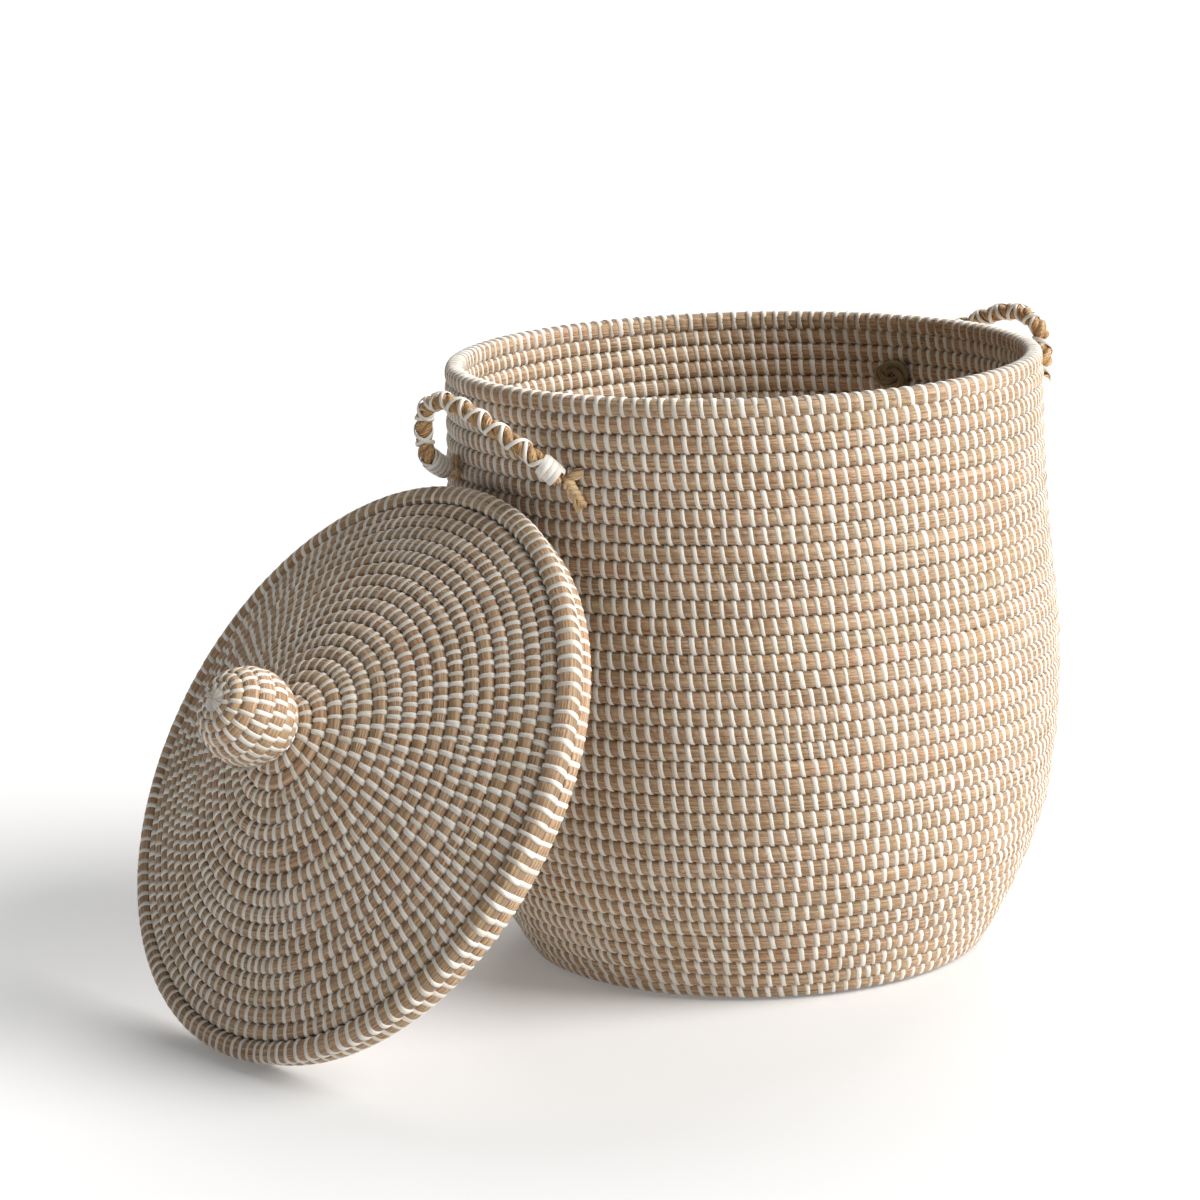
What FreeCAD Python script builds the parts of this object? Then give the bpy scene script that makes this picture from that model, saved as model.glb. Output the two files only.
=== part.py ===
"""Woven laundry basket: a coiled, belly-shaped basket with two rope handles and a loose conical lid.

Millimetres, +Z up. The origin is the middle of the flat underside of the base, on the floor. The handles
lie on the X axis. The lid is off: it stands on its edge on the floor and leans against the wall on the
-X side.
"""

import FreeCAD, Part
import math
import os

# ---- basket ---------------------------------------------------------------------------------------
WALL = 12.0                 # thickness of the coiled wall and base
HEIGHT = 450.0              # floor to the top of the rim
BASE_R = 171.5              # outer radius where the wall leaves the floor
FLARE_MID = (201.0, 54.0)   # radius and height half way up the flare
SHOULDER = (222.0, 112.0)   # where the flare ends
BELLY = (232.0, 190.0)      # widest place
WAIST = (228.2, 290.0)      # where the belly starts to narrow to the mouth
NECK_MID = (223.6, 365.0)
MOUTH_R = 222.4             # outer radius at the mouth
RIM_TUBE = 7.0              # radius of the rim course
RIM_LAP = 1.5               # how far the wall reaches up round the rim course

# ---- lid, in its own frame: origin in the plane of its rim course, +Z towards the knob ----------------
LID_R = 218.7               # outer radius of the lid
LID_RIM_TUBE = 7.8
SKIRT_TUBE = 6.5            # second edge course, under the rim course
SKIRT_INSET = 3.5           # from the lid's outer radius in to the skirt's
COURSE_LAP = 0.6            # how far neighbouring edge courses press into each other
LID_WALL = 10.0             # thickness of the cone
CONE_TOP = (20.0, 73.0)     # radius and height of the cone's outer face at the knob
CONE_FOOT = (204.5, 7.0)    # the same at the rim course
COLLAR_OUT = 201.5          # outer radius of the locating ring that drops into the mouth
COLLAR_WALL = 11.0
COLLAR_DEPTH = 24.0         # from the rim plane down to its lower edge
KNOB_R = 35.0
KNOB_MID = 101.0            # height of the knob's middle
KNOB_SKIN = 12.0            # thickness of the knob's coiled skin
KNOB_TOP_CUT = 31.5         # the crown is flattened this far above the middle
CORE_GAP = 1.0              # room between the ball inside the knob and its skin
TIP_R = 6.0                 # sewn star that closes the knob
TIP_RISE = 2.0

# ---- how the lid leans ----------------------------------------------------------------------------------
LEAN_TILT = 57.8            # angle between the lid's axis and the vertical
LEAN_HEADING = -178.9       # compass angle of the lid's axis, from +X towards +Y
LEAN_BEARING = 176.6        # compass angle of the lid's middle, seen from the basket's axis
LEAN_REACH = 355.4          # from the basket's axis to the lid's middle, along the floor
SEAT_GAP = 2.0              # room between the closed lid's edge and the rim course

# ---- handles ----------------------------------------------------------------------------------------------
ROPE = 6.5                  # radius of the rope
STRIP = 0.9                 # thickness of the white strip
BINDING_GROWTH = 1.6        # the bindings are several turns thick
ANCHOR_Z = 387.0            # of the left handle
RIGHT_RAISED = 13.0         # the right handle goes through the wall one course higher
ANCHOR_ANGLE = 20.0         # from the X axis round the wall to the line that handles are measured from
WRAP_PAIRS = 7
WRAP_TILT = 38.0            # lean of each band of the cross wrap
WRAP_WIDTH = 3.0
HUB_R = 3.0                 # where the strands leave the rope's end
STRAND_R = 2.8
TAIL_R = 2.6                # strand where it goes through the wall
TAIL_ENDS = ((8.0, 7.5), (7.0, -17.5))   # where strands enter the wall: along it and up, from the rope's end
TAIL_CLOSING = 0.5          # inside the wall the strands are this much closer together in height
KNOT_REACH = (11.0, 7.0)    # from a knot's middle to the middles of its ends: along the wall, and up
KNOT_BACK = 9.0             # from the rope's end back to the knot, along the wall
KNOT_R = 5.0

WALL_AT_ANCHOR = 223.3      # outer radius of the wall at the anchors' height
ANCHOR_LINE = WALL_AT_ANCHOR * math.cos(math.radians(ANCHOR_ANGLE))

# Route of the rope: along the wall, out from the line of the anchors, and up from the anchors.
ROPE_ROUTE = [
    (67.0, 14.3, 3.5),
    (61.8, 28.6, 19.5),
    (29.4, 41.6, 39.3),
    (-23.4, 45.6, 57.7),
    (-56.9, 41.8, 48.7),
    (-66.3, 37.7, 26.1),
    (-69.7, 32.4, 4.7),
    (-74.0, 12.0, -4.0),
]

UP = FreeCAD.Vector(0, 0, 1)
ORIGIN = FreeCAD.Vector(0, 0, 0)


def vec(x, y, z=0.0):
    return FreeCAD.Vector(x, y, z)


def at(radius, height):
    """A point of an outline that is turned about Z."""
    return vec(radius, 0, height)


def turned(edges):
    """A solid made by turning a closed outline about Z."""
    return Part.Face(Part.Wire(edges)).revolve(ORIGIN, UP, 360)


def line(a, b):
    return Part.LineSegment(a, b).toShape()


def arc(a, middle, b):
    return Part.Arc(a, middle, b).toShape()


def polygon(points):
    return [line(a, b) for a, b in zip(points, points[1:] + points[:1])]


def save(name, shape):
    shape.exportStep(f"parts/{name}.step")


# ---- basket -----------------------------------------------------------------------------------------------


def base_disc():
    return Part.makeCylinder(BASE_R - WALL, WALL)


def wall_band(low, middle, high):
    """A belt of the wall between two heights, bulging as an arc through three points of its outside."""
    outer = [at(*p) for p in (low, middle, high)]
    inner = [at(p[0] - WALL, p[1]) for p in (high, middle, low)]
    return turned([arc(*outer), line(outer[2], inner[0]), arc(*inner), line(inner[2], outer[0])])


def rim_course():
    return Part.makeTorus(MOUTH_R - RIM_TUBE, RIM_TUBE, vec(0, 0, HEIGHT - RIM_TUBE))


def basket_shapes():
    wall_top = HEIGHT - 2 * RIM_TUBE + RIM_LAP
    rim = rim_course()
    return {
        "base_disc": base_disc(),
        "lower_wall": wall_band((BASE_R, 0.0), FLARE_MID, SHOULDER),
        "middle_wall": wall_band(SHOULDER, BELLY, WAIST),
        "upper_wall": wall_band(WAIST, NECK_MID, (MOUTH_R, wall_top)).cut(rim),
        "rim_course": rim,
    }


# ---- lid ----------------------------------------------------------------------------------------------------


def lid_rim():
    return Part.makeTorus(LID_R - LID_RIM_TUBE, LID_RIM_TUBE)


SKIRT_RING = LID_R - SKIRT_INSET - SKIRT_TUBE    # radius of the skirt's centre line


def skirt_height():
    """Height of the second edge course's middle, below the rim plane."""
    apart = LID_RIM_TUBE + SKIRT_TUBE - COURSE_LAP
    across = LID_R - LID_RIM_TUBE - SKIRT_RING
    return -math.sqrt(apart**2 - across**2)


def lid_skirt():
    return Part.makeTorus(SKIRT_RING, SKIRT_TUBE, vec(0, 0, skirt_height()))


def lid_cone():
    slope = math.atan2(CONE_TOP[1] - CONE_FOOT[1], CONE_FOOT[0] - CONE_TOP[0])
    drop = LID_WALL / math.cos(slope)
    outer = [at(*CONE_TOP), at(*CONE_FOOT)]
    inner = [p - vec(0, 0, drop) for p in reversed(outer)]
    return turned(polygon(outer + inner))


def lid_collar():
    inside = COLLAR_OUT - COLLAR_WALL
    corners = [at(inside, 0), at(COLLAR_OUT, 0), at(COLLAR_OUT, -COLLAR_DEPTH), at(inside, -COLLAR_DEPTH)]
    ring = turned(polygon(corners))
    lower_edges = [e for e in ring.Edges if e.BoundBox.ZMax < 1 - COLLAR_DEPTH and e.BoundBox.XLength > 1]
    return ring.makeFillet(COLLAR_WALL / 2 - 0.5, lower_edges)


def knob_shell():
    """The coiled skin of the knob: a ball, open below, with a small hole in its flattened crown."""
    ball = Part.makeSphere(KNOB_R, vec(0, 0, KNOB_MID))
    hollow = Part.makeSphere(KNOB_R - KNOB_SKIN, vec(0, 0, KNOB_MID))
    crown = Part.makeBox(2 * KNOB_R, 2 * KNOB_R, KNOB_R, vec(-KNOB_R, -KNOB_R, KNOB_MID + KNOB_TOP_CUT))
    hole = Part.makeCylinder(TIP_R, KNOB_R, vec(0, 0, KNOB_MID))
    mouth = Part.makeCylinder(CONE_TOP[0] - 3, KNOB_R + 1, vec(0, 0, KNOB_MID - KNOB_R - 1))
    return ball.cut(hollow).cut(crown).cut(hole).cut(mouth)


def knob_core():
    return Part.makeSphere(KNOB_R - KNOB_SKIN - CORE_GAP, vec(0, 0, KNOB_MID))


def knob_tip():
    """The star that closes the knob: a plug in the hole with a low button on top."""
    crown = KNOB_MID + KNOB_TOP_CUT
    plug = Part.makeCylinder(TIP_R, KNOB_SKIN - 4, vec(0, 0, crown - KNOB_SKIN + 4))
    button = Part.makeCone(TIP_R + 2, TIP_R - 2, TIP_RISE, vec(0, 0, crown))
    return plug.fuse(button).removeSplitter()


def lean_placement():
    """Moves the lid from its own frame to where it leans."""
    heading = math.radians(LEAN_HEADING)
    bearing = math.radians(LEAN_BEARING)
    hinge = vec(-math.sin(heading), math.cos(heading))
    turn = FreeCAD.Rotation(hinge, LEAN_TILT)
    skirt_drop = turn.multVec(vec(0, 0, skirt_height())).z
    above_floor = SKIRT_RING * math.sin(math.radians(LEAN_TILT)) + SKIRT_TUBE - skirt_drop
    return FreeCAD.Placement(
        vec(LEAN_REACH * math.cos(bearing), LEAN_REACH * math.sin(bearing), above_floor), turn
    )


def closed_height():
    """Height of the lid's rim plane when its edge sits on the basket's rim course."""
    across = MOUTH_R - RIM_TUBE - SKIRT_RING
    apart = RIM_TUBE + SKIRT_TUBE + SEAT_GAP
    return HEIGHT - RIM_TUBE + math.sqrt(apart**2 - across**2) - skirt_height()


def lid_shapes():
    rim = lid_rim()
    skirt = lid_skirt().cut(rim)
    shell = knob_shell()
    core = knob_core()
    cone = lid_cone().cut(rim).cut(shell).cut(core)
    collar = lid_collar().cut(skirt).cut(cone).cut(rim)
    shapes = {
        "lid_rim": rim,
        "lid_skirt": skirt,
        "lid_cone": cone,
        "lid_collar": collar,
        "knob_shell": shell,
        "knob_core": core,
        "knob_tip": knob_tip(),
    }
    for shape in shapes.values():
        shape.Placement = lean_placement().multiply(shape.Placement)
    return shapes


# ---- handles ------------------------------------------------------------------------------------------------


def rounded_path(points):
    """Straight runs joined by tangent arcs, as large as the runs allow."""
    edges = []
    start = points[0]
    for before, corner, after in zip(points, points[1:], points[2:]):
        to_corner = corner - before
        from_corner = after - corner
        turn = to_corner.getAngle(from_corner)
        cut = 0.45 * min(to_corner.Length, from_corner.Length)
        radius = cut / math.tan(turn / 2)
        a = corner - to_corner * (cut / to_corner.Length)
        b = corner + from_corner * (cut / from_corner.Length)
        inward = (a + b) * 0.5 - corner
        centre_gap = radius / math.cos(turn / 2)
        middle = corner + inward * ((centre_gap - radius) / inward.Length)
        edges += [line(start, a), arc(a, middle, b)]
        start = b
    edges.append(line(start, points[-1]))
    return Part.Wire(edges)


def tube(path, radius):
    first = path.Edges[0]
    start = first.valueAt(first.FirstParameter)
    heading = first.tangentAt(first.FirstParameter)
    ring = Part.Wire(Part.Circle(start, heading, radius).toShape())
    return path.makePipeShell([ring], True, True)


def rod(a, b, radius_a, radius_b):
    """A round bar from a to b, with ball ends."""
    along = b - a
    if abs(radius_a - radius_b) < 0.01:
        bar = Part.makeCylinder(radius_a, along.Length, a, along)
    else:
        bar = Part.makeCone(radius_a, radius_b, along.Length, a, along)
    return bar.fuse(Part.makeSphere(radius_a, a)).fuse(Part.makeSphere(radius_b, b))


def handle_point(along, out, up):
    """A point by the anchor line of a handle on the +X side."""
    return vec(ANCHOR_LINE + out, along, ANCHOR_Z + up)


def wall_out(along):
    """How far the wall's face stands out from the line of the anchors."""
    return math.sqrt(WALL_AT_ANCHOR**2 - along**2) - ANCHOR_LINE


def rope():
    points = [handle_point(*p) for p in ROPE_ROUTE]
    path = rounded_path(points)
    body = tube(path, ROPE)
    for end in (points[0], points[-1]):
        body = body.fuse(Part.makeSphere(ROPE, end))
    return body.removeSplitter(), path


def binding(end, towards, length, start, core):
    """Strip wound tight round the end of the rope."""
    along = (towards - end).normalize()
    sleeve = Part.makeCylinder(ROPE + BINDING_GROWTH, length, end + along * start, along)
    return max(sleeve.cut(core).Solids, key=lambda solid: solid.Volume)


def cross_wrap(path, bindings):
    """Pairs of slanted bands that cross over on top of the rope."""
    sleeve = tube(path, ROPE + STRIP).cut(tube(path, ROPE))
    for piece in bindings:
        sleeve = sleeve.cut(piece)
    bands = []
    points = path.discretize(Number=4 * WRAP_PAIRS + 9)
    for pair in range(WRAP_PAIRS):
        station = 4 * pair + 6
        heading = (points[station + 1] - points[station - 1]).normalize()
        side = heading.cross(UP).normalize()
        for lean in (-WRAP_TILT, WRAP_TILT):
            normal = FreeCAD.Rotation(side, lean).multVec(heading)
            slab = Part.makeCylinder(3 * ROPE, WRAP_WIDTH, points[station] - normal * (WRAP_WIDTH / 2), normal)
            near = sleeve.common(slab)
            bands.append(near.Solids[0] if len(near.Solids) == 1 else nearest(near.Solids, points[station]))
    merged = bands[0].fuse(bands[1:])
    return Part.makeCompound(merged.Solids)


def nearest(solids, point):
    return min(solids, key=lambda s: s.CenterOfMass.sub(point).Length)


def tails(end_along, end_up, side):
    """Two strands that spread from the rope's end over the wall and go in through it."""
    hub = handle_point(end_along, wall_out(end_along) + HUB_R - 1.9, end_up)
    shape = Part.makeSphere(HUB_R, hub)
    for reach, rise in TAIL_ENDS:
        along = end_along + side * reach
        lift = wall_out(along)
        outside = handle_point(along, lift + 1.2, end_up + rise)
        inside = handle_point(along * 0.93, lift - WALL - 4.0, end_up + rise * TAIL_CLOSING)
        shape = shape.fuse(rod(hub, outside, STRAND_R, TAIL_R)).fuse(rod(outside, inside, TAIL_R, TAIL_R))
    return shape.removeSplitter()


def knot(end_along, end_up, side):
    """The strands' ends, crossed over each other and tied against the inside of the wall."""
    tied = end_along - side * KNOT_BACK
    centre = handle_point(tied * 0.93, wall_out(tied) - WALL - KNOT_R - 1.0, end_up)
    around = UP.cross(vec(centre.x, centre.y)).normalize() * KNOT_REACH[0]
    rise = UP * KNOT_REACH[1]
    first = rod(centre - around - rise, centre + around + rise, KNOT_R, KNOT_R)
    second = rod(centre - around + rise, centre + around - rise, KNOT_R, KNOT_R)
    return first.fuse(second).removeSplitter()


def handle_shapes():
    """A handle on the +X side; the left one is the same piece turned half round the basket."""
    loop, path = rope()
    points = [handle_point(*p) for p in ROPE_ROUTE]
    front = binding(points[0], points[1], 13.0, 3.0, loop)
    rear = binding(points[-1], points[-2], 15.0, 3.0, loop)
    wrap = cross_wrap(path, [front, rear])
    moving = {
        "handle_rope": loop,
        "handle_cross_wrap": wrap,
        "handle_front_binding": front,
        "handle_rear_binding": rear,
    }
    ends = {"front": (ROPE_ROUTE[0], 1), "rear": (ROPE_ROUTE[-1], -1)}
    fixed = {}
    for where, (route_end, side) in ends.items():
        fixed[f"{where}_tails"] = tails(route_end[0], route_end[2], side)
        lump = knot(route_end[0], route_end[2], side)
        fixed[f"{where}_knot"] = lump.cut(fixed[f"{where}_tails"])
    return moving, fixed


def main():
    os.makedirs("parts", exist_ok=True)
    shapes = basket_shapes()
    shapes.update(lid_shapes())
    moving, fixed = handle_shapes()
    for side, angle, raised in (("right", 0, RIGHT_RAISED), ("left", 180, 0.0)):
        for name, shape in {**moving, **fixed}.items():
            copy = shape.copy()
            copy.rotate(ORIGIN, UP, angle)
            copy.translate(UP * raised)
            shapes[f"{side}_{name}"] = copy
            if name.endswith("tails"):
                shapes["upper_wall"] = shapes["upper_wall"].cut(copy)
    for side in ("right", "left"):
        for where in ("front", "rear"):
            name = f"{side}_{where}_knot"
            shapes[name] = shapes[name].cut(shapes["upper_wall"])
    for name, shape in shapes.items():
        save(name, shape)


if __name__ == "__main__":
    main()
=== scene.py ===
import math

import bpy
import numpy as np
from mathutils import Matrix, Vector


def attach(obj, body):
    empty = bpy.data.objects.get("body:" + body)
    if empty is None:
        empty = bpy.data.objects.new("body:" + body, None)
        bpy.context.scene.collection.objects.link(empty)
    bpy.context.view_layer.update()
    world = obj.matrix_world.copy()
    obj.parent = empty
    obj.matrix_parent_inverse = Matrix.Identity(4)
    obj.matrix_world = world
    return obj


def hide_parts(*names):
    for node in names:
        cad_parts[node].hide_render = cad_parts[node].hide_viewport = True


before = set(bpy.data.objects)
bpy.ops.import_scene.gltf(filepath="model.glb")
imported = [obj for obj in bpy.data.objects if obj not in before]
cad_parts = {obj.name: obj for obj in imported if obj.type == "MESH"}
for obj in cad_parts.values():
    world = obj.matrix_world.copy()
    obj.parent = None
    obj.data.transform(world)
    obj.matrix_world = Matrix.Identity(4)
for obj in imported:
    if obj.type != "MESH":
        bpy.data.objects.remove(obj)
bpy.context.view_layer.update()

rng = np.random.default_rng(41)
MM = 0.001

# ---- sizes, in millimetres, as in the CAD model -------------------------------------------------------
WALL = 12.0
HEIGHT = 450.0
OUTSIDE = [
    ((171.5, 0.0), (201.0, 54.0), (222.0, 112.0)),
    ((222.0, 112.0), (232.0, 190.0), (228.2, 290.0)),
    ((228.2, 290.0), (223.6, 365.0), (222.4, 437.5)),
]
WALL_COURSES = 35
RIM_RING, RIM_TUBE = 215.4, 7.0
LID_R, LID_RIM_TUBE = 218.7, 7.8
SKIRT_TUBE, SKIRT_RING = 6.5, 208.7
SKIRT_Z = -math.sqrt(13.7**2 - 2.2**2)
CONE_TOP, CONE_FOOT = (20.0, 73.0), (204.5, 7.0)
CONE_COURSES = 17
COLLAR_OUT, COLLAR_WALL, COLLAR_DEPTH = 201.5, 11.0, 24.0
KNOB_R, KNOB_MID, KNOB_CROWN = 35.0, 101.0, 31.5
LEAN_TILT, LEAN_HEADING, LEAN_BEARING, LEAN_REACH = 57.8, -178.9, 176.6, 355.4
ANCHOR_Z, ANCHOR_ANGLE, WALL_AT_ANCHOR = 387.0, 20.0, 223.3
ANCHOR_LINE = WALL_AT_ANCHOR * math.cos(math.radians(ANCHOR_ANGLE))
ROPE = 6.5
RIGHT_RAISED = 13.0
ROPE_ROUTE = [
    (67.0, 14.3, 3.5),
    (61.8, 28.6, 19.5),
    (29.4, 41.6, 39.3),
    (-23.4, 45.6, 57.7),
    (-56.9, 41.8, 48.7),
    (-66.3, 37.7, 26.1),
    (-69.7, 32.4, 4.7),
    (-74.0, 12.0, -4.0),
]
STITCH_STEP = 9.7
STITCH_WIDTH = 4.3
EDGE = {"turns": (-166.0, 172.0), "steps": 26, "bow": 2.4, "width": 4.7, "tail": 0.6}
SUNK = 0.62  # how far a stitch draws its course in
BAND_LINES = (113.0, 288.0)  # heights between the lower, middle and upper bands of wall
BASE_COURSES = 13
BASE_R = 171.5
ROUTE_START = 4  # samples left off the rope's first end, where its tails begin


# ---- camera, light and floor ----------------------------------------------------------------------------


def make_camera():
    yaw, pitch, roll, turn = -0.0371, 0.2091, -0.0320, math.radians(-40)
    forward = Vector((math.sin(yaw) * math.cos(pitch), math.cos(yaw) * math.cos(pitch), -math.sin(pitch)))
    right = Vector((math.cos(yaw), -math.sin(yaw), 0))
    up = right.cross(forward)
    side = math.cos(roll) * right + math.sin(roll) * up
    head = -math.sin(roll) * right + math.cos(roll) * up
    spin = Matrix.Rotation(turn, 3, "Z")
    axes = [spin @ v for v in (side, head, -forward)]
    place = Matrix([[a[i] for a in axes] for i in range(3)]).to_4x4()
    place.translation = spin @ Vector((0, -3.0256, 0.9064))
    data = bpy.data.cameras.new("camera")
    data.lens = 122.93
    data.sensor_width = 36.0
    data.clip_end = 50
    camera = bpy.data.objects.new("camera", data)
    camera.matrix_world = place
    bpy.context.scene.collection.objects.link(camera)
    bpy.context.scene.camera = camera
    bpy.context.scene.view_settings.view_transform = "Standard"
    return spin


def soft_sun(name, source, power, spread, colour=(1, 1, 1)):
    """Light as from a very large soft box far away in the direction of source."""
    data = bpy.data.lights.new(name, "SUN")
    data.energy = power
    data.angle = math.radians(spread)
    data.color = colour
    light = bpy.data.objects.new(name, data)
    light.rotation_mode = "QUATERNION"
    light.rotation_quaternion = (-source).to_track_quat("-Z", "Y")
    bpy.context.scene.collection.objects.link(light)


def make_studio(spin):
    """A broad key from the right, a softer light from behind, a sky brighter to the right, and a pale floor.
    Directions are in the camera's own left-right and near-far sense, which spin turns into the frame's."""
    soft_sun("key_right", spin @ Vector((0.98, -0.24, 0.58)), 4.7, 42, (1.0, 0.985, 0.965))
    soft_sun("back", spin @ Vector((0.20, 0.95, 0.8)), 1.8, 45)
    world = bpy.data.worlds.new("studio")
    world.use_nodes = True
    nodes, links = world.node_tree.nodes, world.node_tree.links
    facing = nodes.new("ShaderNodeVectorMath")
    facing.operation = "DOT_PRODUCT"
    facing.inputs[1].default_value = spin @ Vector((0.85, -0.1, 0.5))
    links.new(nodes.new("ShaderNodeTexCoord").outputs["Generated"], facing.inputs[0])
    spread = nodes.new("ShaderNodeMapRange")
    for socket, value in (("From Min", -1.0), ("From Max", 1.0), ("To Min", 0.0), ("To Max", 0.36)):
        spread.inputs[socket].default_value = value
    links.new(facing.outputs["Value"], spread.inputs["Value"])
    links.new(spread.outputs["Result"], nodes["Background"].inputs["Strength"])
    nodes["Background"].inputs["Color"].default_value = (1, 1, 1, 1)
    bpy.context.scene.world = world
    floor = bpy.data.meshes.new("floor")
    half = 14.0
    corners = [(-half, -half, 0), (half, -half, 0), (half, half, 0), (-half, half, 0)]
    floor.from_pydata(corners, [], [(0, 1, 2, 3)])
    floor_object = bpy.data.objects.new("floor", floor)
    bpy.context.scene.collection.objects.link(floor_object)
    material = Shader("floor_white", (0.72, 0.72, 0.72), 0.9)
    material.set("Specular IOR Level", 0.1)
    material.set("Emission Color", (1, 1, 1, 1))
    material.set("Emission Strength", 0.14)
    floor.materials.append(material.material)


# ---- materials ------------------------------------------------------------------------------------------


class Shader:
    """Short calls for building a material out of nodes."""

    def __init__(self, name, colour, roughness):
        self.material = bpy.data.materials.new(name)
        self.material.use_nodes = True
        self.material.diffuse_color = (*colour, 1)
        self.tree = self.material.node_tree
        self.bsdf = self.tree.nodes["Principled BSDF"]
        self.set("Base Color", (*colour, 1))
        self.set("Roughness", roughness)

    def set(self, socket, value):
        self.bsdf.inputs[socket].default_value = value

    def node(self, kind, inputs=(), **settings):
        made = self.tree.nodes.new(kind)
        for key, value in settings.items():
            setattr(made, key, value)
        for key, value in dict(inputs).items():
            if isinstance(value, bpy.types.NodeSocket):
                self.tree.links.new(value, made.inputs[key])
            else:
                made.inputs[key].default_value = value
        return made

    def link(self, socket, target):
        self.tree.links.new(socket, self.bsdf.inputs[target])

    def attribute(self, name, output="Vector"):
        return self.node("ShaderNodeAttribute", attribute_name=name).outputs[output]

    def stretched(self, vector, scale):
        return self.node("ShaderNodeMapping", {"Vector": vector, "Scale": scale}).outputs["Vector"]

    def noise(self, vector, scale, detail=3.0, roughness=0.55):
        inputs = {"Vector": vector, "Scale": scale, "Detail": detail, "Roughness": roughness}
        return self.node("ShaderNodeTexNoise", inputs).outputs["Fac"]

    def ramp(self, value, stops):
        made = self.node("ShaderNodeValToRGB", {"Fac": value})
        points = made.color_ramp.elements
        while len(points) < len(stops):
            points.new(0.5)
        for point, (position, colour) in zip(points, stops):
            point.position = position
            point.color = (*colour, 1)
        return made.outputs["Color"]

    def mix(self, factor, a, b, blend="MIX"):
        made = self.node("ShaderNodeMix", data_type="RGBA", blend_type=blend)
        for index, value in ((0, factor), (6, a), (7, b)):
            if isinstance(value, bpy.types.NodeSocket):
                self.tree.links.new(value, made.inputs[index])
            else:
                made.inputs[index].default_value = value
        return made.outputs[2]

    def math(self, operation, *values):
        made = self.node("ShaderNodeMath", operation=operation)
        for index, value in enumerate(values):
            if isinstance(value, bpy.types.NodeSocket):
                self.tree.links.new(value, made.inputs[index])
            else:
                made.inputs[index].default_value = value
        return made.outputs[0]

    def bump(self, height, strength, distance, after=None):
        inputs = {"Height": height, "Strength": strength, "Distance": distance}
        if after is not None:
            inputs["Normal"] = after
        return self.node("ShaderNodeBump", inputs).outputs["Normal"]


def fibre_material(name, stops, roughness, groove_shade=None, fibre=1.0, tint=((1, 1, 1), (1, 1, 1))):
    """Bundled plant fibre. The coil attribute is the way along the bundle and across it twice, in metres. The
    groove strength, when given, sets how far painted shade darkens the top and bottom of each course, where it
    meets the next.
    """
    middle = stops[len(stops) // 2][1]
    s = Shader(name, middle, roughness)
    coil = s.attribute("coil")
    strands = s.noise(s.stretched(coil, (14, 760 / fibre, 760 / fibre)), 1.0, 2.0, 0.5)
    fine = s.noise(s.stretched(coil, (60, 2600 / fibre, 2600 / fibre)), 1.0, 2.0, 0.6)
    broad = s.noise(s.stretched(coil, (9, 60, 60)), 1.0, 2.0)
    value = s.math("ADD", s.math("MULTIPLY", strands, 0.62), s.math("MULTIPLY", fine, 0.38))
    colour = s.ramp(value, stops)
    colour = s.mix(s.ramp(broad, [(0.36, (0, 0, 0)), (0.66, (1, 1, 1))]), colour,
                   s.mix(1.0, colour, (*tint[0], 1), "MULTIPLY"))
    patchy = s.noise(s.stretched(coil, (3.1, 9, 9)), 1.0, 1.0)
    colour = s.mix(s.ramp(patchy, [(0.45, (0, 0, 0)), (0.7, (1, 1, 1))]), colour,
                   s.mix(1.0, colour, (*tint[1], 1), "MULTIPLY"))
    # painted shade: where one course meets the next, the colour is darkened towards dark brown, standing in for
    # the shade in the grooves between courses
    if groove_shade:
        groove_shade_mask = s.attribute("groove_shade", "Fac")
        colour = s.mix(s.math("MULTIPLY", groove_shade_mask, groove_shade), colour, (0.085, 0.05, 0.026, 1))
    s.link(colour, "Base Color")
    normal = s.bump(strands, 0.75, 0.0011)
    s.link(s.bump(fine, 0.55, 0.0004, normal), "Normal")
    s.set("Specular IOR Level", 0.5)
    s.set("Sheen Weight", 0.12)
    s.set("Sheen Roughness", 0.4)
    return s.material


def strip_material(name, colour, shade):
    """Flat strip. The strip attribute is the way along, the way across (-1 to 1) and a number for each."""
    s = Shader(name, colour, 0.52)
    strip = s.attribute("strip")
    parts = s.node("ShaderNodeSeparateXYZ", {"Vector": strip}).outputs
    lines = s.noise(s.stretched(strip, (60, 3.2, 31)), 1.0, 2.0, 0.6)
    light = tuple(min(1.0, c * 1.06) for c in colour)
    tone = s.ramp(parts["Z"], [(0.0, shade), (0.35, colour), (1.0, light)])
    worn = s.ramp(lines, [(0.34, tuple(c * 0.66 for c in shade)), (0.6, (1, 1, 1))])
    s.link(s.mix(0.4, tone, s.mix(1.0, tone, worn, "MULTIPLY")), "Base Color")
    s.link(s.bump(lines, 0.5, 0.0003), "Normal")
    s.set("Specular IOR Level", 0.4)
    return s.material


# ---- meshes ---------------------------------------------------------------------------------------------


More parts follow.
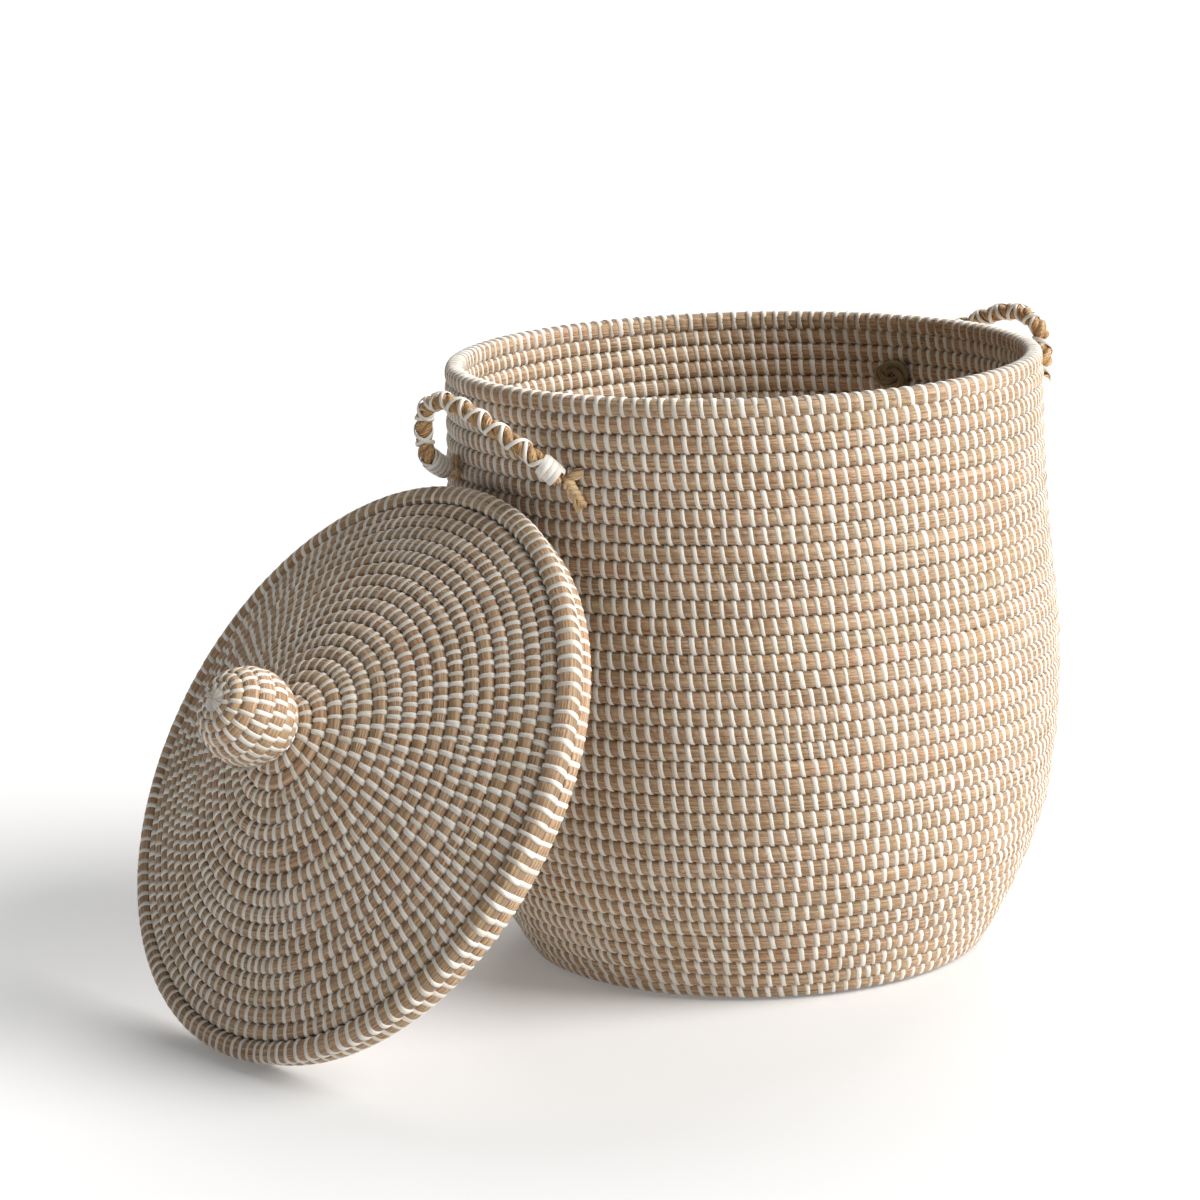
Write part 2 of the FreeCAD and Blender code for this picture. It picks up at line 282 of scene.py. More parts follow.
def make_piece(name, points, faces, material, attributes=(), place=None):
    """A mesh object from points in millimetres."""
    mesh = bpy.data.meshes.new(name)
    flat = np.ascontiguousarray(points, dtype=np.float64).reshape(-1, 3) * MM
    if place is not None:
        flat = flat @ np.array(place.to_3x3()).T + np.array(place.translation)
    quads = np.ascontiguousarray(faces, dtype=np.int32).reshape(-1, 4)
    mesh.vertices.add(len(flat))
    mesh.vertices.foreach_set("co", flat.astype(np.float32).ravel())
    mesh.loops.add(quads.size)
    mesh.loops.foreach_set("vertex_index", quads.ravel())
    mesh.polygons.add(len(quads))
    mesh.polygons.foreach_set("loop_start", np.arange(0, quads.size, 4, dtype=np.int32))
    mesh.polygons.foreach_set("use_smooth", np.ones(len(quads), dtype=bool))
    mesh.update(calc_edges=True)
    mesh.validate()
    for key, values in dict(attributes).items():
        values = np.ascontiguousarray(values, dtype=np.float32)
        if values.ndim > 1 and values.shape[-1] == 3:
            mesh.attributes.new(key, "FLOAT_VECTOR", "POINT").data.foreach_set("vector", values.ravel())
        else:
            mesh.attributes.new(key, "FLOAT", "POINT").data.foreach_set("value", values.ravel())
    mesh.materials.append(material)
    piece = bpy.data.objects.new(name, mesh)
    bpy.context.scene.collection.objects.link(piece)
    return piece


def grid_faces(rows, columns, wrap_columns=False, start=0):
    """Quads of a grid of points stored row by row."""
    i = np.arange(rows - 1)[:, None]
    last = columns if wrap_columns else columns - 1
    j = np.arange(last)[None, :]
    after = (j + 1) % columns
    a = i * columns + j
    b = i * columns + after
    return np.stack([a, b, b + columns, a + columns], axis=-1).reshape(-1, 4) + start


def bulge(angle, half_up, half_out):
    """Cross-section of a bundle: 0 is the top, a quarter turn is the outside."""
    c, s = np.cos(angle), np.sin(angle)
    return np.sign(c) * np.abs(c) ** 0.72 * half_up, np.sign(s) * np.abs(s) ** 0.72 * half_out


class Course:
    """One turn of the coil: where its middle runs, which way is out and which way the next turn lies."""

    def __init__(self, radius, height, out, up, half_up, half_out, stitches, slant=2.0):
        self.radius, self.height = radius, height
        self.out, self.up = out, up
        self.half_up, self.half_out = half_up, half_out
        self.stitches = np.sort(np.mod(stitches, 2 * math.pi))
        self.slant = slant
        self.offset = rng.uniform(0, 50)


def coil_points(course, per_stitch=4, around=12):
    """The bundle: it bulges between stitches and is drawn in under them."""
    s = course.stitches
    gaps = np.diff(np.append(s, s[0] + 2 * math.pi))
    weights = np.arange(per_stitch) / per_stitch
    angle = np.append((s[:, None] + gaps[:, None] * weights).ravel(), s[0] + 2 * math.pi)
    swell = np.tile(-SUNK + np.sin(math.pi * weights) ** 0.7, len(s))
    swell = np.append(swell + rng.normal(0, 0.12, len(swell)), 0)
    swell[-1] = swell[0]
    theta = np.arange(around) / around * 2 * math.pi
    x, y = bulge(theta, course.half_up, course.half_out)
    y = y[None, :] + np.sin(theta)[None, :] * swell[:, None] * min(1.0, course.half_out / 6)
    x = np.broadcast_to(x, y.shape)
    side = np.sin(theta) / np.sqrt(np.sin(theta) ** 2 + 0.1)
    phi = angle[:, None] - course.slant / course.radius * (np.cos(theta) * side)[None, :]
    r = course.radius + x * course.up[0] + y * course.out[0]
    z = course.height + x * course.up[1] + y * course.out[1]
    points = np.stack([r * np.cos(phi), r * np.sin(phi), z], axis=-1)
    along = np.broadcast_to((angle * course.radius * MM)[:, None] + course.offset, y.shape)
    coil = np.stack([along, x * MM, y * MM], axis=-1)
    # painted shade mask: rises to 1 at the top and bottom of the bundle, where it meets the next course, and is
    # 0 elsewhere
    groove_shade = np.broadcast_to(np.clip((np.abs(np.cos(theta)) - 0.7) / 0.3, 0, 1), y.shape)
    return points, coil, groove_shade


def strip_points(centre, normal, width, lift):
    """A flat strip along each path. centre and normal are (strips, steps, 3); width and lift one less."""
    along = np.gradient(centre, axis=1)
    across = np.cross(along, normal)
    across /= np.linalg.norm(across, axis=-1, keepdims=True) + 1e-9
    places = np.array([-1.0, -0.8, 0.0, 0.8, 1.0])
    heights = np.array([-0.45, 0.36, 0.5, 0.36, -0.45])
    wide = (width / 2)[..., None, None] * places[:, None] * across[:, :, None, :]
    tall = (lift[..., None] + heights)[..., None] * normal[:, :, None, :]
    return centre[:, :, None, :] + wide + tall, places


def stitch_points(course, side, turns=(12.0, 172.0), steps=11, spread=0.1, tail=0.42, width=STITCH_WIDTH,
                  bow=1.7):
    """The strips that show on one side of a course. side is 1 outside and -1 inside."""
    count = len(course.stitches)
    tau = np.linspace(0, 1, steps)
    theta = np.radians(turns[0] + (turns[1] - turns[0]) * tau)
    x, y = bulge(theta, course.half_up, course.half_out)
    pull = -SUNK * np.sin(theta) * min(1.0, course.half_out / 6)
    y = (y + pull) * side
    lean = course.slant * rng.normal(1, spread * 1.6, count)
    nudge = rng.normal(0, 0.15, count)
    bend = -1 + 2 * tau**bow
    shift = (nudge[:, None] + lean[:, None] * bend[None, :]) * side
    phi = course.stitches[:, None] + shift / course.radius
    r = course.radius + x * course.up[0] + y * course.out[0]
    z = course.height + x * course.up[1] + y * course.out[1]
    centre = np.stack([r * np.cos(phi), r * np.sin(phi), np.broadcast_to(z, phi.shape)], axis=-1)
    nx = np.cos(theta) / course.half_up
    ny = np.sin(theta) / course.half_out * side
    size = np.hypot(nx, ny)
    nr = (nx * course.up[0] + ny * course.out[0]) / size
    nz = (nx * course.up[1] + ny * course.out[1]) / size
    normal = np.stack([nr * np.cos(phi), nr * np.sin(phi), np.broadcast_to(nz, phi.shape)], axis=-1)
    wide = width * np.clip(rng.normal(1, spread, count), 0.75, 1.3)
    taper = 1 - (1 - tail) * tau**3
    width = wide[:, None] * taper[None, :]
    lift = np.broadcast_to(rng.uniform(0.2, 0.45, count)[:, None], width.shape)
    points, places = strip_points(centre, normal, width, lift)
    shade = rng.uniform(0, 1, count)
    strip = np.empty(points.shape)
    strip[..., 0] = (tau * 0.014)[None, :, None]
    strip[..., 1] = places
    strip[..., 2] = shade[:, None, None]
    return points, strip


def build_coil(name, courses, material, place=None, per_stitch=4, around=12):
    points, coils, groove_shades, faces, start = [], [], [], [], 0
    for course in courses:
        p, c, g = coil_points(course, per_stitch, around)
        faces.append(grid_faces(p.shape[0], p.shape[1], True, start))
        start += p.shape[0] * p.shape[1]
        points.append(p.reshape(-1, 3))
        coils.append(c.reshape(-1, 3))
        groove_shades.append(g.reshape(-1))
    # the groove attribute carries the painted shade mask for the grooves between courses
    attributes = {"coil": np.concatenate(coils), "groove_shade": np.concatenate(groove_shades)}
    return make_piece(name, np.concatenate(points), np.concatenate(faces), material, attributes, place)


def build_strips(name, groups, material, place=None):
    """groups is a list of (points, strip attribute) arrays, each (strips, steps, 5, 3)."""
    points, strips, faces, start = [], [], [], 0
    for p, s in groups:
        one = grid_faces(p.shape[1], p.shape[2])
        size = p.shape[1] * p.shape[2]
        starts = start + size * np.arange(p.shape[0])
        faces.append((one[None] + starts[:, None, None]).reshape(-1, 4))
        start += size * p.shape[0]
        points.append(p.reshape(-1, 3))
        strips.append(s.reshape(-1, 3))
    attributes = {"strip": np.concatenate(strips)}
    return make_piece(name, np.concatenate(points), np.concatenate(faces), material, attributes, place)


# ---- where the stitches fall ----------------------------------------------------------------------------


def sewn_rows(radii, step, drift=0.0, wander=0.3):
    """Stitch angles for each course. Each stitch stands beside one of the course before, a little further on,
    and one is added or left out where the circumference needs it."""
    rows = []
    angles = None
    for radius in radii:
        want = 2 * math.pi * radius / step
        if angles is None:
            angles = np.arange(round(want)) / round(want) * 2 * math.pi
        else:
            angles = angles + (drift + rng.normal(0, wander, len(angles))) / radius
        while len(angles) < want - 0.5:
            gaps = np.diff(np.append(angles, angles[0] + 2 * math.pi))
            widest = int(np.argmax(gaps * rng.uniform(0.85, 1.0, len(gaps))))
            angles = np.insert(angles, widest + 1, angles[widest] + gaps[widest] / 2)
        while len(angles) > want + 0.5:
            gaps = np.diff(np.append(angles, angles[0] + 2 * math.pi))
            pairs = gaps + np.roll(gaps, 1)
            angles = np.delete(angles, int(np.argmin(pairs * rng.uniform(1.0, 1.15, len(gaps)))))
        for _ in range(7):
            before, after = np.roll(angles, 1), np.roll(angles, -1)
            before[0] -= 2 * math.pi
            after[-1] += 2 * math.pi
            angles = 0.6 * angles + 0.2 * (before + after)
        rows.append(angles)
    return rows


# ---- basket ---------------------------------------------------------------------------------------------


def arc_through(a, m, b, count=60):
    """Points of the circle's arc from a to b through m."""
    (ax, ay), (mx, my), (bx, by) = a, m, b
    d = 2 * (ax * (my - by) + mx * (by - ay) + bx * (ay - my))
    ux = ((ax**2 + ay**2) * (my - by) + (mx**2 + my**2) * (by - ay) + (bx**2 + by**2) * (ay - my)) / d
    uy = ((ax**2 + ay**2) * (bx - mx) + (mx**2 + my**2) * (ax - bx) + (bx**2 + by**2) * (mx - ax)) / d
    radius = math.hypot(ax - ux, ay - uy)
    first, last = math.atan2(ay - uy, ax - ux), math.atan2(by - uy, bx - ux)
    sweep = (last - first + math.pi) % (2 * math.pi) - math.pi
    angle = first + sweep * np.linspace(0, 1, count)
    return np.stack([ux + radius * np.cos(angle), uy + radius * np.sin(angle)], axis=-1)


def wall_profile():
    """The outline of the wall's outside, with the way along it."""
    line = np.concatenate([arc_through(*three)[(0 if i == 0 else 1):] for i, three in enumerate(OUTSIDE)])
    way = np.concatenate([[0], np.cumsum(np.linalg.norm(np.diff(line, axis=0), axis=1))])
    return line, way


def wall_courses():
    line, way = wall_profile()
    pitch = way[-1] / WALL_COURSES
    courses = []
    centres = (np.arange(WALL_COURSES) + 0.5) * pitch
    r = np.interp(centres, way, line[:, 0])
    z = np.interp(centres, way, line[:, 1])
    slope_r = (np.interp(centres + 3, way, line[:, 0]) - np.interp(centres - 3, way, line[:, 0])) / 6
    slope_z = (np.interp(centres + 3, way, line[:, 1]) - np.interp(centres - 3, way, line[:, 1])) / 6
    rows = sewn_rows(np.append(r, RIM_RING), STITCH_STEP, 0.7)
    for k in range(WALL_COURSES):
        size = math.hypot(slope_r[k], slope_z[k])
        up = (slope_r[k] / size, slope_z[k] / size)
        out = (up[1], -up[0])
        middle = (r[k] - out[0] * 5.7, z[k] - out[1] * 5.7)
        lift = 0.9 if k == 0 else 0.0
        courses.append(Course(middle[0], middle[1] + lift, out, up, pitch / 2 + 0.1, 5.8, rows[k]))
    rim = Course(RIM_RING, HEIGHT - RIM_TUBE, (1.0, 0.0), (0.0, 1.0), RIM_TUBE - 0.4, RIM_TUBE - 0.4, rows[-1])
    return courses, rim


def build_basket(rush, white):
    courses, rim = wall_courses()
    bands = {
        "lower": [c for c in courses if c.height < BAND_LINES[0]],
        "middle": [c for c in courses if BAND_LINES[0] <= c.height < BAND_LINES[1]],
        "upper": [c for c in courses if c.height >= BAND_LINES[1]],
    }
    for name, group in bands.items():
        coil = build_coil(f"{name}_wall_coil", group, rush)
        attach(coil, "basket")
        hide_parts(f"{name}_wall")
        for side, word in ((1, "outer"), (-1, "inner")):
            sewn = build_strips(f"{name}_wall_{word}_stitches", [stitch_points(c, side) for c in group],
                                white)
            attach(sewn, "basket")
    coil = build_coil("rim_coil", [rim], rush, per_stitch=6, around=20)
    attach(coil, "basket")
    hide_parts("rim_course")
    sewn = build_strips("rim_stitches", [stitch_points(rim, 1, **EDGE)], white)
    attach(sewn, "basket")

    step = (BASE_R - WALL) / BASE_COURSES
    radii = (np.arange(BASE_COURSES) + 0.5) * step
    rows = sewn_rows(radii, STITCH_STEP, 0.2)
    disc = [Course(radius, 6.4, (0.0, -1.0), (1.0, 0.0), step / 2 + 0.1, 5.3, row)
            for radius, row in zip(radii, rows)]
    coil = build_coil("base_coil", disc, rush)
    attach(coil, "basket")
    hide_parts("base_disc")
    groups = [stitch_points(c, side) for c in disc for side in (1, -1)]
    sewn = build_strips("base_stitches", groups, white)
    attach(sewn, "basket")


# ---- lid ------------------------------------------------------------------------------------------------


def lid_place():
    heading, bearing = math.radians(LEAN_HEADING), math.radians(LEAN_BEARING)
    turn = Matrix.Rotation(math.radians(LEAN_TILT), 3, Vector((-math.sin(heading), math.cos(heading), 0)))
    drop = (turn @ Vector((0, 0, SKIRT_Z))).z
    above = SKIRT_RING * math.sin(math.radians(LEAN_TILT)) + SKIRT_TUBE - drop
    place = turn.to_4x4()
    place.translation = Vector((LEAN_REACH * math.cos(bearing), LEAN_REACH * math.sin(bearing), above)) * MM
    return place


def cone_courses():
    top, foot = np.array(CONE_TOP), np.array(CONE_FOOT)
    run = foot - top
    length = np.linalg.norm(run)
    along = run / length
    out = (-along[1], along[0])
    pitch = length / CONE_COURSES
    centres = (np.arange(CONE_COURSES) + 0.5) * pitch
    radii = top[0] + along[0] * centres
    rows = sewn_rows(np.append(radii, [204.5, 211.0]), 9.4, 0.6)
    courses = []
    for k, centre in enumerate(centres):
        r, z = top + along * centre
        middle = (r - out[0] * 4.8, z - out[1] * 4.8)
        courses.append(Course(middle[0], middle[1], out, tuple(along), pitch / 2 + 0.1, 4.9, rows[k], 1.4))
    return courses, rows[-2:]


def knob_courses():
    """From the tip of the cone up round the ball."""
    angles = [27, 46, 67, 88, 109, 129, 146, 159]
    halves = [5.0, 6.2, 6.6, 6.6, 6.5, 6.0, 4.6, 3.6]
    rows = sewn_rows([KNOB_R * math.sin(math.radians(a)) for a in angles], 8.8, 4.4, 0.2)
    courses = []
    for angle, half, row in zip(angles, halves, rows):
        a = math.radians(angle)
        out = (math.sin(a), -math.cos(a))
        up = (math.cos(a), math.sin(a))
        deep = min(5.6, half)
        reach = KNOB_R - deep - (1.6 if angle > 150 else 0.0)
        courses.append(Course(reach * out[0], KNOB_MID + reach * out[1], out, up, half, deep, row, 0.6))
    return courses


def build_lid(rush, white):
    place = lid_place()

    def add(piece, *nodes):
        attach(piece, "lid")
        if nodes:
            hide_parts(*nodes)

    cone, edge_rows = cone_courses()
    add(build_coil("lid_cone_coil", cone, rush, place), "lid_cone")
    for side, word in ((1, "outer"), (-1, "inner")):
        add(build_strips(f"lid_cone_{word}_stitches", [stitch_points(c, side) for c in cone], white,
                         place))
    rim = Course(LID_R - LID_RIM_TUBE, 0.0, (0.34, 0.94), (0.94, -0.34), 7.5, 7.4, edge_rows[1], 1.5)
    skirt = Course(SKIRT_RING, SKIRT_Z, (1.0, 0.0), (0.0, 1.0), 6.3, 6.2, edge_rows[0], 1.3)
    add(build_coil("lid_rim_coil", [rim], rush, place, 5, 18), "lid_rim")
    add(build_coil("lid_skirt_coil", [skirt], rush, place, 5, 14), "lid_skirt")
    add(build_strips("lid_rim_stitches", [stitch_points(rim, 1, **EDGE)], white, place))
    add(build_strips("lid_skirt_stitches", [stitch_points(skirt, 1, **EDGE)], white, place))
    radius = COLLAR_OUT - COLLAR_WALL / 2
    half = COLLAR_DEPTH / 4
    rows = sewn_rows([radius, radius], STITCH_STEP, 0.2)
    collar = [Course(radius, -half, (1.0, 0.0), (0.0, -1.0), half, 5.0, rows[0]),
              Course(radius, -3 * half, (1.0, 0.0), (0.0, -1.0), half, 5.0, rows[1])]
    add(build_coil("lid_collar_coil", collar, rush, place), "lid_collar")
    add(build_strips("lid_collar_stitches", [stitch_points(c, side) for c in collar for side in (1, -1)],
                     white, place))

    knob = knob_courses()
    add(build_coil("knob_coil", knob, rush, place, 6, 16), "knob_shell")
    add(build_strips("knob_stitches", [stitch_points(c, 1, (4.0, 176.0), 11, 0.1, 0.75, 3.9) for c in knob],
                     white, place))
    add(build_star("knob_star", white, place), "knob_tip")


def build_star(name, white, place):
    """Strips that meet at the middle of the knob's crown."""
    count, steps = 22, 9
    angle = np.arange(count) / count * 2 * math.pi + rng.normal(0, 0.03, count)
    tau = np.linspace(0, 1, steps)
    radius = 0.4 + 10.0 * tau
    turn = angle[:, None] + 0.35 * tau[None, :] ** 1.2
    height = KNOB_MID + KNOB_CROWN + 1.9 - 2.2 * tau**1.6 - 2.4 * np.clip(tau - 0.6, 0, 1) ** 1.3
    centre = np.stack([radius * np.cos(turn), radius * np.sin(turn), np.broadcast_to(height, turn.shape)],
                      axis=-1)
    tilt = 0.5 * tau
    normal = np.stack([np.sin(tilt) * np.cos(turn), np.sin(tilt) * np.sin(turn),
                       np.broadcast_to(np.cos(tilt), turn.shape)], axis=-1)
    width = np.broadcast_to(0.7 + 1.9 * tau, turn.shape)
    points, places = strip_points(centre, normal, width, np.zeros(turn.shape) - 0.1)
    strip = np.empty(points.shape)
    strip[..., 0] = (tau * 0.014)[None, :, None]
    strip[..., 1] = places
    strip[..., 2] = rng.uniform(0, 0.8, count)[:, None, None]
    return build_strips(name, [(points, strip)], white, place)


# ---- handles --------------------------------------------------------------------------------------------


def handle_point(along, out, up):
    """A point by the anchor line of the handle on the +X side, in millimetres."""
    return np.array([ANCHOR_LINE + out, along, ANCHOR_Z + up])


def wall_out(along):
    return math.sqrt(WALL_AT_ANCHOR**2 - along**2) - ANCHOR_LINE


def smooth_route(points, count):
    """Points along the smooth spline that the route controls, evenly spaced, with a steady sideways frame."""
    curve = bpy.data.curves.new("route", "CURVE")
    curve.dimensions = "3D"
    spline = curve.splines.new("NURBS")
    spline.points.add(len(points) - 1)
    for spot, point in zip(spline.points, points):
        spot.co = (*point, 1)
    spline.order_u = 3
    spline.use_endpoint_u = True
    spline.resolution_u = 24
    holder = bpy.data.objects.new("route", curve)
    mesh = bpy.data.meshes.new_from_object(holder)
    dense = np.array([v.co for v in mesh.vertices])
    bpy.data.objects.remove(holder)
    bpy.data.curves.remove(curve)
    bpy.data.meshes.remove(mesh)
    way = np.concatenate([[0], np.cumsum(np.linalg.norm(np.diff(dense, axis=0), axis=1))])
    even = np.linspace(0, way[-1], count)
    line = np.stack([np.interp(even, way, dense[:, i]) for i in range(3)], axis=-1)
    heading = np.gradient(line, axis=0)
    heading /= np.linalg.norm(heading, axis=1, keepdims=True)
    side = np.empty_like(line)
    side[0] = np.cross(heading[0], (0, 0, 1))
    side[0] /= np.linalg.norm(side[0])
    for i in range(1, count):
        s = side[i - 1] - heading[i] * np.dot(side[i - 1], heading[i])
        side[i] = s / np.linalg.norm(s)
    return line, heading, side, np.cross(heading, side), even


def tube_points(line, side, lift, radius, around):
    """A tube round a line. radius may change along it."""
    angle = np.arange(around) / around * 2 * math.pi
    radius = np.broadcast_to(radius, (len(line),))
    ring = side[:, None, :] * np.cos(angle)[None, :, None] + lift[:, None, :] * np.sin(angle)[None, :, None]
    return line[:, None, :] + ring * radius[:, None, None], angle


def frames_of(line):
    heading = np.gradient(line, axis=0)
    heading /= np.linalg.norm(heading, axis=1, keepdims=True) + 1e-12
    side = np.empty_like(line)
    start = np.cross(heading[0], (0.3, 0.2, 1.0))
    side[0] = start / np.linalg.norm(start)
    for i in range(1, len(line)):
        s = side[i - 1] - heading[i] * np.dot(side[i - 1], heading[i])
        side[i] = s / np.linalg.norm(s)
    return side, np.cross(heading, side)


def build_tubes(name, tubes, material, around=8):
    """tubes is a list of (line, radius) with the line in millimetres."""
    points, coils, faces, start = [], [], [], 0
    for line, radius in tubes:
        side, lift = frames_of(line)
        p, angle = tube_points(line, side, lift, radius, around)
        way = np.concatenate([[0], np.cumsum(np.linalg.norm(np.diff(line, axis=0), axis=1))])
        coil = np.empty(p.shape)
        size = np.broadcast_to(radius, (len(line),))
        coil[..., 0] = way[:, None] * MM + rng.uniform(0, 40)
        coil[..., 1] = size[:, None] * np.cos(angle) * MM
        coil[..., 2] = size[:, None] * np.sin(angle) * MM
        faces.append(grid_faces(p.shape[0], p.shape[1], True, start))
        start += p.shape[0] * p.shape[1]
        points.append(p.reshape(-1, 3))
        coils.append(coil.reshape(-1, 3))
    attributes = {"coil": np.concatenate(coils)}
    return make_piece(name, np.concatenate(points), np.concatenate(faces), material, attributes)


def at_side(points, side):
    """The right handle is the left one turned half round the basket and raised by a course."""
    return points + np.array([0, 0, RIGHT_RAISED]) if side == "right" else points * np.array([-1.0, -1.0, 1.0])


def rope_strands(route):
    """Three strands laid round each other, each with looser yarns on its surface."""
    line, heading, side, lift, way = (values[ROUTE_START:] for values in smooth_route(route, 220))
    way = way - way[0]
    tubes = []
    for strand in range(3):
        turn = way / 30.0 * 2 * math.pi + strand * 2 * math.pi / 3
        centre = line + 2.85 * (side * np.cos(turn)[:, None] + lift * np.sin(turn)[:, None])
        tubes.append((centre, 3.3 + 0.1 * np.sin(way / 2.9 + strand)))
        for yarn in range(4):
            phase = yarn * math.pi / 2 + strand
            twist = way / 15.0 * 2 * math.pi + phase
            outward = side * np.cos(turn)[:, None] + lift * np.sin(turn)[:, None]
            sideways = np.cross(heading, outward)
            path = centre + 2.65 * (outward * np.cos(twist)[:, None] + sideways * np.sin(twist)[:, None])
            tubes.append((path, 1.0))
    return tubes, (line, heading, side, lift, way)


def wound_strip(track, pitch, phase, direction, ends, radius, width, count=260):
    """One strip wound round the rope as a helix."""
    line, heading, side, lift, way = track
    along = np.linspace(way[-1] * ends[0], way[-1] * ends[1], count)
    pick = lambda values: np.stack([np.interp(along, way, values[:, i]) for i in range(3)], axis=-1)
    turn = direction * along / pitch * 2 * math.pi + phase
    normal = pick(side) * np.cos(turn)[:, None] + pick(lift) * np.sin(turn)[:, None]
    normal /= np.linalg.norm(normal, axis=1, keepdims=True)
    centre = pick(line) + normal * radius
    wide = np.full((1, count), width)
    points, places = strip_points(centre[None], normal[None], wide, np.zeros((1, count)))
    strip = np.empty(points.shape)
    strip[..., 0] = (along * MM)[None, :, None]
    strip[..., 1] = places
    strip[..., 2] = rng.uniform(0.3, 1.0)
    return points, strip


def frayed(start, end, lean, count, width, loose):
    """A bundle of fine fibres that leaves together and opens out."""
    tubes = []
    start, end = np.array(start), np.array(end)
    axis = end - start
    length = np.linalg.norm(axis)
    axis = axis / length
    side = np.cross(axis, (0.2, 0.1, 1.0))
    side /= np.linalg.norm(side)
    lift = np.cross(axis, side)
    steps = 10
    tau = np.linspace(0, 1, steps)
    for fibre in range(count):
        angle = fibre * 2.4 + rng.uniform(-0.3, 0.3)
        spread = width * math.sqrt((fibre + 0.5) / count)
        reach = length * rng.uniform(0.72, 1.04)
        open_out = np.sin(math.pi * np.clip(tau * 0.85, 0, 1)) * 0.75 + loose * tau**2
        turn = angle + tau * 1.3
        offset = spread * open_out[:, None] * (side * np.cos(turn)[:, None] + lift * np.sin(turn)[:, None])
        sag = np.array(lean) * (tau**2)[:, None]
        path = start + axis * (tau * reach)[:, None] + offset + sag
        tubes.append((path, (1.15 if fibre < 6 else 0.7) * (1 - 0.8 * tau**2.5)))
    return tubes


def plait(start, end, radius, turns):
    """Three strands plaited together, getting thinner."""
    start, end = np.array(start), np.array(end)
    axis = end - start
    length = np.linalg.norm(axis)
    axis = axis / length
    side = np.cross(axis, (1.0, 0.0, 0.2))
    side /= np.linalg.norm(side)
    lift = np.cross(axis, side)
    tau = np.linspace(0, 1, 40)
    tubes = []
    for strand in range(3):
        t = tau * turns * 2 * math.pi + strand * 2 * math.pi / 3
        a = np.sin(t) * radius * 0.8
        b = np.sin(2 * t) * radius * 0.35
        path = start + axis * (tau * length)[:, None] + side * a[:, None] + lift * b[:, None]
        tubes.append((path, radius * 0.62 * (1 - 0.35 * tau)))
    return tubes


def knot_loops(centre, out, along, size):
    """A lumpy tied knot: one thick strand that goes round and over itself."""
    t = np.linspace(0, 2 * math.pi, 120)
    tubes = []
    up = np.array([0.0, 0.0, 1.0])
    for k, (p, q) in enumerate(((2, 3), (3, 2))):
        r = 0.62 + 0.3 * np.cos(q * t + k)
        x = r * np.cos(p * t + 0.7 * k)
        z = r * np.sin(p * t + 0.7 * k)
        y = 0.42 * np.sin(q * t + k)
        path = centre + np.outer(x * size[0] * 0.9, along) + np.outer(z * size[1] * 0.9, up) \
            + np.outer(y * size[2] * 0.7, out)
        tubes.append((path, 2.3 + 0.3 * np.sin(5 * t)))
    return tubes


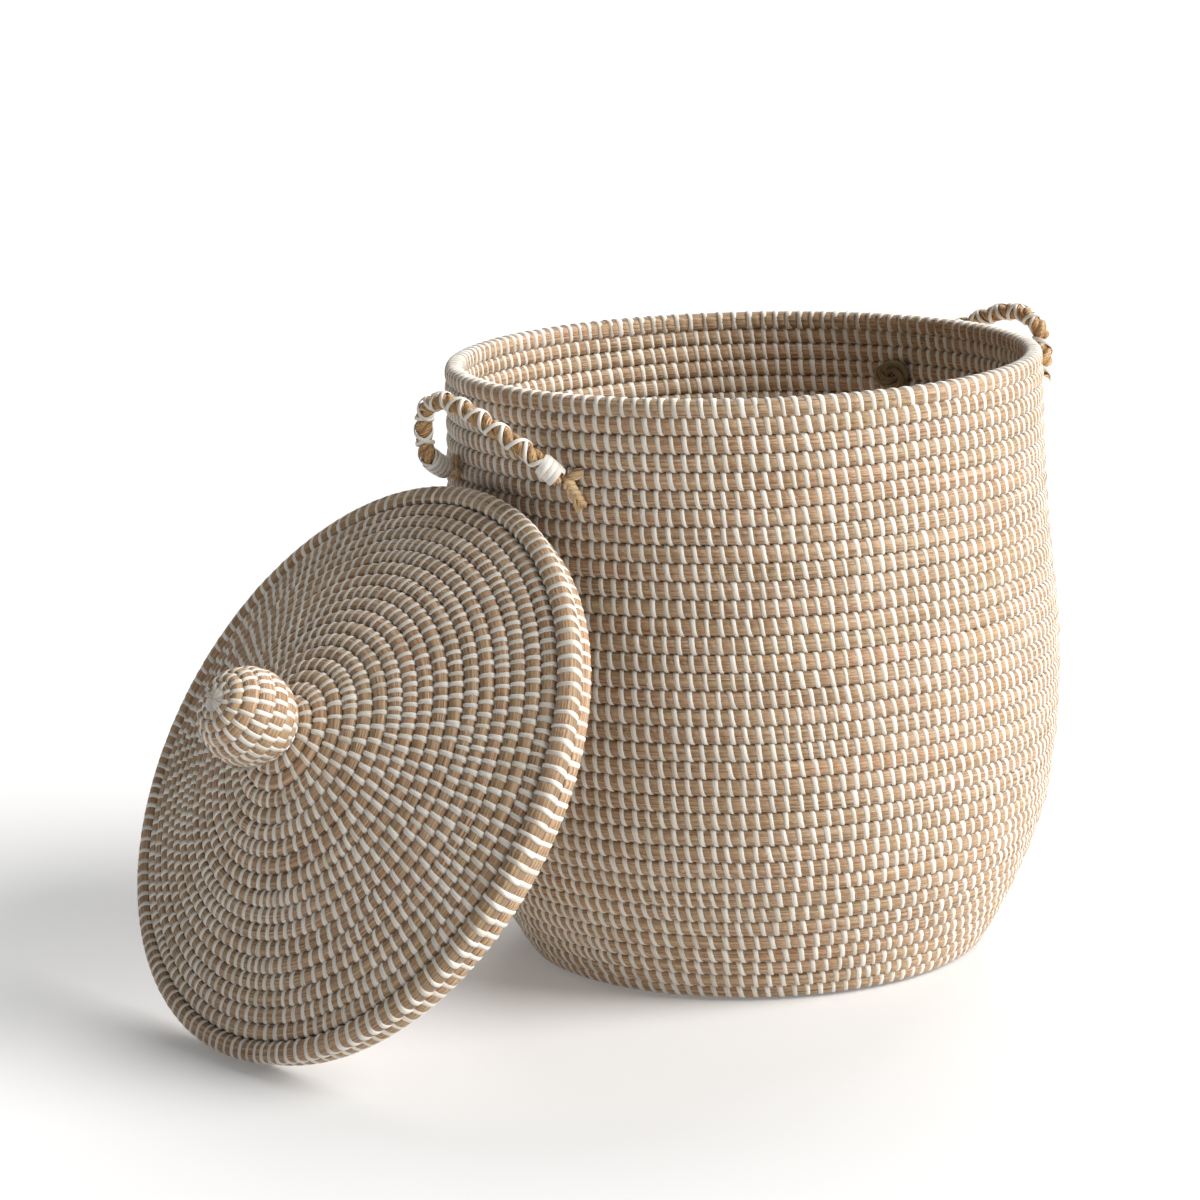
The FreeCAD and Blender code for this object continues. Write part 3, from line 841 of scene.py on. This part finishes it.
def build_handle(side, golden, white, pale, jute):
    body = f"{side}_handle"
    route = [at_side(handle_point(*p), side) for p in ROPE_ROUTE]
    tubes, track = rope_strands(route)
    rope = build_tubes(f"{side}_rope", tubes, golden, 8)
    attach(rope, body)
    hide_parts(f"{side}_handle_rope")
    radius = ROPE + 0.05
    groups = [wound_strip(track, 21.0, 0.4, 1, (0.07, 0.93), radius, 3.2),
              wound_strip(track, 21.0, 2.1, -1, (0.07, 0.93), radius + 0.45, 3.2)]
    wrap = build_strips(f"{side}_cross_wrap", groups, white)
    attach(wrap, body)
    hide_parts(f"{side}_handle_cross_wrap")
    for where, ends in (("front", (0.012, 0.075)), ("rear", (0.905, 0.985))):
        strips = [wound_strip(track, 4.3, phase, 1, ends, radius + 0.95 + 0.3 * layer, 4.9, 160)
                  for layer, phase in enumerate((0.0, 2.4))]
        winding = build_strips(f"{side}_{where}_winding", strips, white)
        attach(winding, body)
        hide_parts(f"{side}_handle_{where}_binding")
    for where, route_end, sense in (("front", ROPE_ROUTE[0], 1), ("rear", ROPE_ROUTE[-1], -1)):
        along, up = route_end[0], route_end[2]
        drop, thick = (18.5, 4.0) if sense > 0 else (9.0, 3.0)
        hub = handle_point(along - sense * 2.5, wall_out(along) + thick + 2.0, up + 1.0)
        first = handle_point(along + sense * 8.0, wall_out(along + sense * 8.0) + 1.4, up + 7.5)
        second = handle_point(along + sense * 7.0, wall_out(along + sense * 7.0) + 1.8, up - drop)
        hub, first, second = (at_side(p, side) for p in (hub, first, second))
        strands = frayed(hub, first, (0, 0, 0.5), 26, thick + 0.6, 0.1) + plait(hub, second, thick, 1.8)
        strands += frayed(second + (hub - second) * 0.6, second, (0, 0, -1.5), 22, 4.8, 0.8)
        tails = build_tubes(f"{side}_{where}_strands", strands, pale, 6)
        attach(tails, "basket")
        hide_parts(f"{side}_{where}_tails")
        tied = along - sense * 9.0
        spot = at_side(handle_point(tied * 0.93, wall_out(tied) - WALL - 6.0, up), side)
        out = np.array([spot[0], spot[1], 0.0])
        out /= np.linalg.norm(out)
        tangent = np.array([-out[1], out[0], 0.0])
        knot = build_tubes(f"{side}_{where}_tied_knot", knot_loops(spot, out, tangent, (16.0, 12.0, 5.5)), jute,
                           8)
        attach(knot, "basket")
        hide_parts(f"{side}_{where}_knot")


# ---- the scene ------------------------------------------------------------------------------------------

RUSH_STOPS = [(0.30, (0.10, 0.050, 0.024)), (0.43, (0.33, 0.197, 0.108)), (0.53, (0.465, 0.308, 0.19)),
              (0.68, (0.65, 0.48, 0.325))]
ROPE_STOPS = [(0.34, (0.06, 0.028, 0.009)), (0.45, (0.33, 0.185, 0.075)), (0.54, (0.56, 0.35, 0.165)),
              (0.68, (0.82, 0.62, 0.38))]
PALE_STOPS = [(0.3, (0.30, 0.17, 0.07)), (0.45, (0.66, 0.45, 0.23)), (0.55, (0.80, 0.59, 0.34)),
              (0.7, (0.90, 0.74, 0.50))]
JUTE_STOPS = [(0.3, (0.05, 0.035, 0.015)), (0.45, (0.17, 0.12, 0.055)), (0.55, (0.27, 0.19, 0.09)),
              (0.7, (0.42, 0.31, 0.17))]


def main():
    spin = make_camera()
    make_studio(spin)
    # groove=0.5: the painted shade between courses, at half strength
    rush = fibre_material("rush", RUSH_STOPS, 0.62, groove_shade=0.5, tint=((0.90, 0.93, 0.84), (1.07, 0.99, 0.95)))
    golden = fibre_material("golden_rope", ROPE_STOPS, 0.5, fibre=0.8, tint=((0.9, 0.85, 0.7), (1.1, 1.0, 0.9)))
    pale = fibre_material("pale_fibre", PALE_STOPS, 0.6, fibre=0.6)
    jute = fibre_material("jute", JUTE_STOPS, 0.7, fibre=0.7)
    white = strip_material("white_strip", (0.79, 0.755, 0.69), (0.66, 0.61, 0.52))
    build_basket(rush, white)
    build_lid(rush, white)
    for side in ("left", "right"):
        build_handle(side, golden, white, pale, jute)
    core = bpy.data.objects.get("knob_core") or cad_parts["knob_core"]
    core.data.materials.clear()
    core.data.materials.append(fibre_material("core_rush", RUSH_STOPS, 0.7))


main()
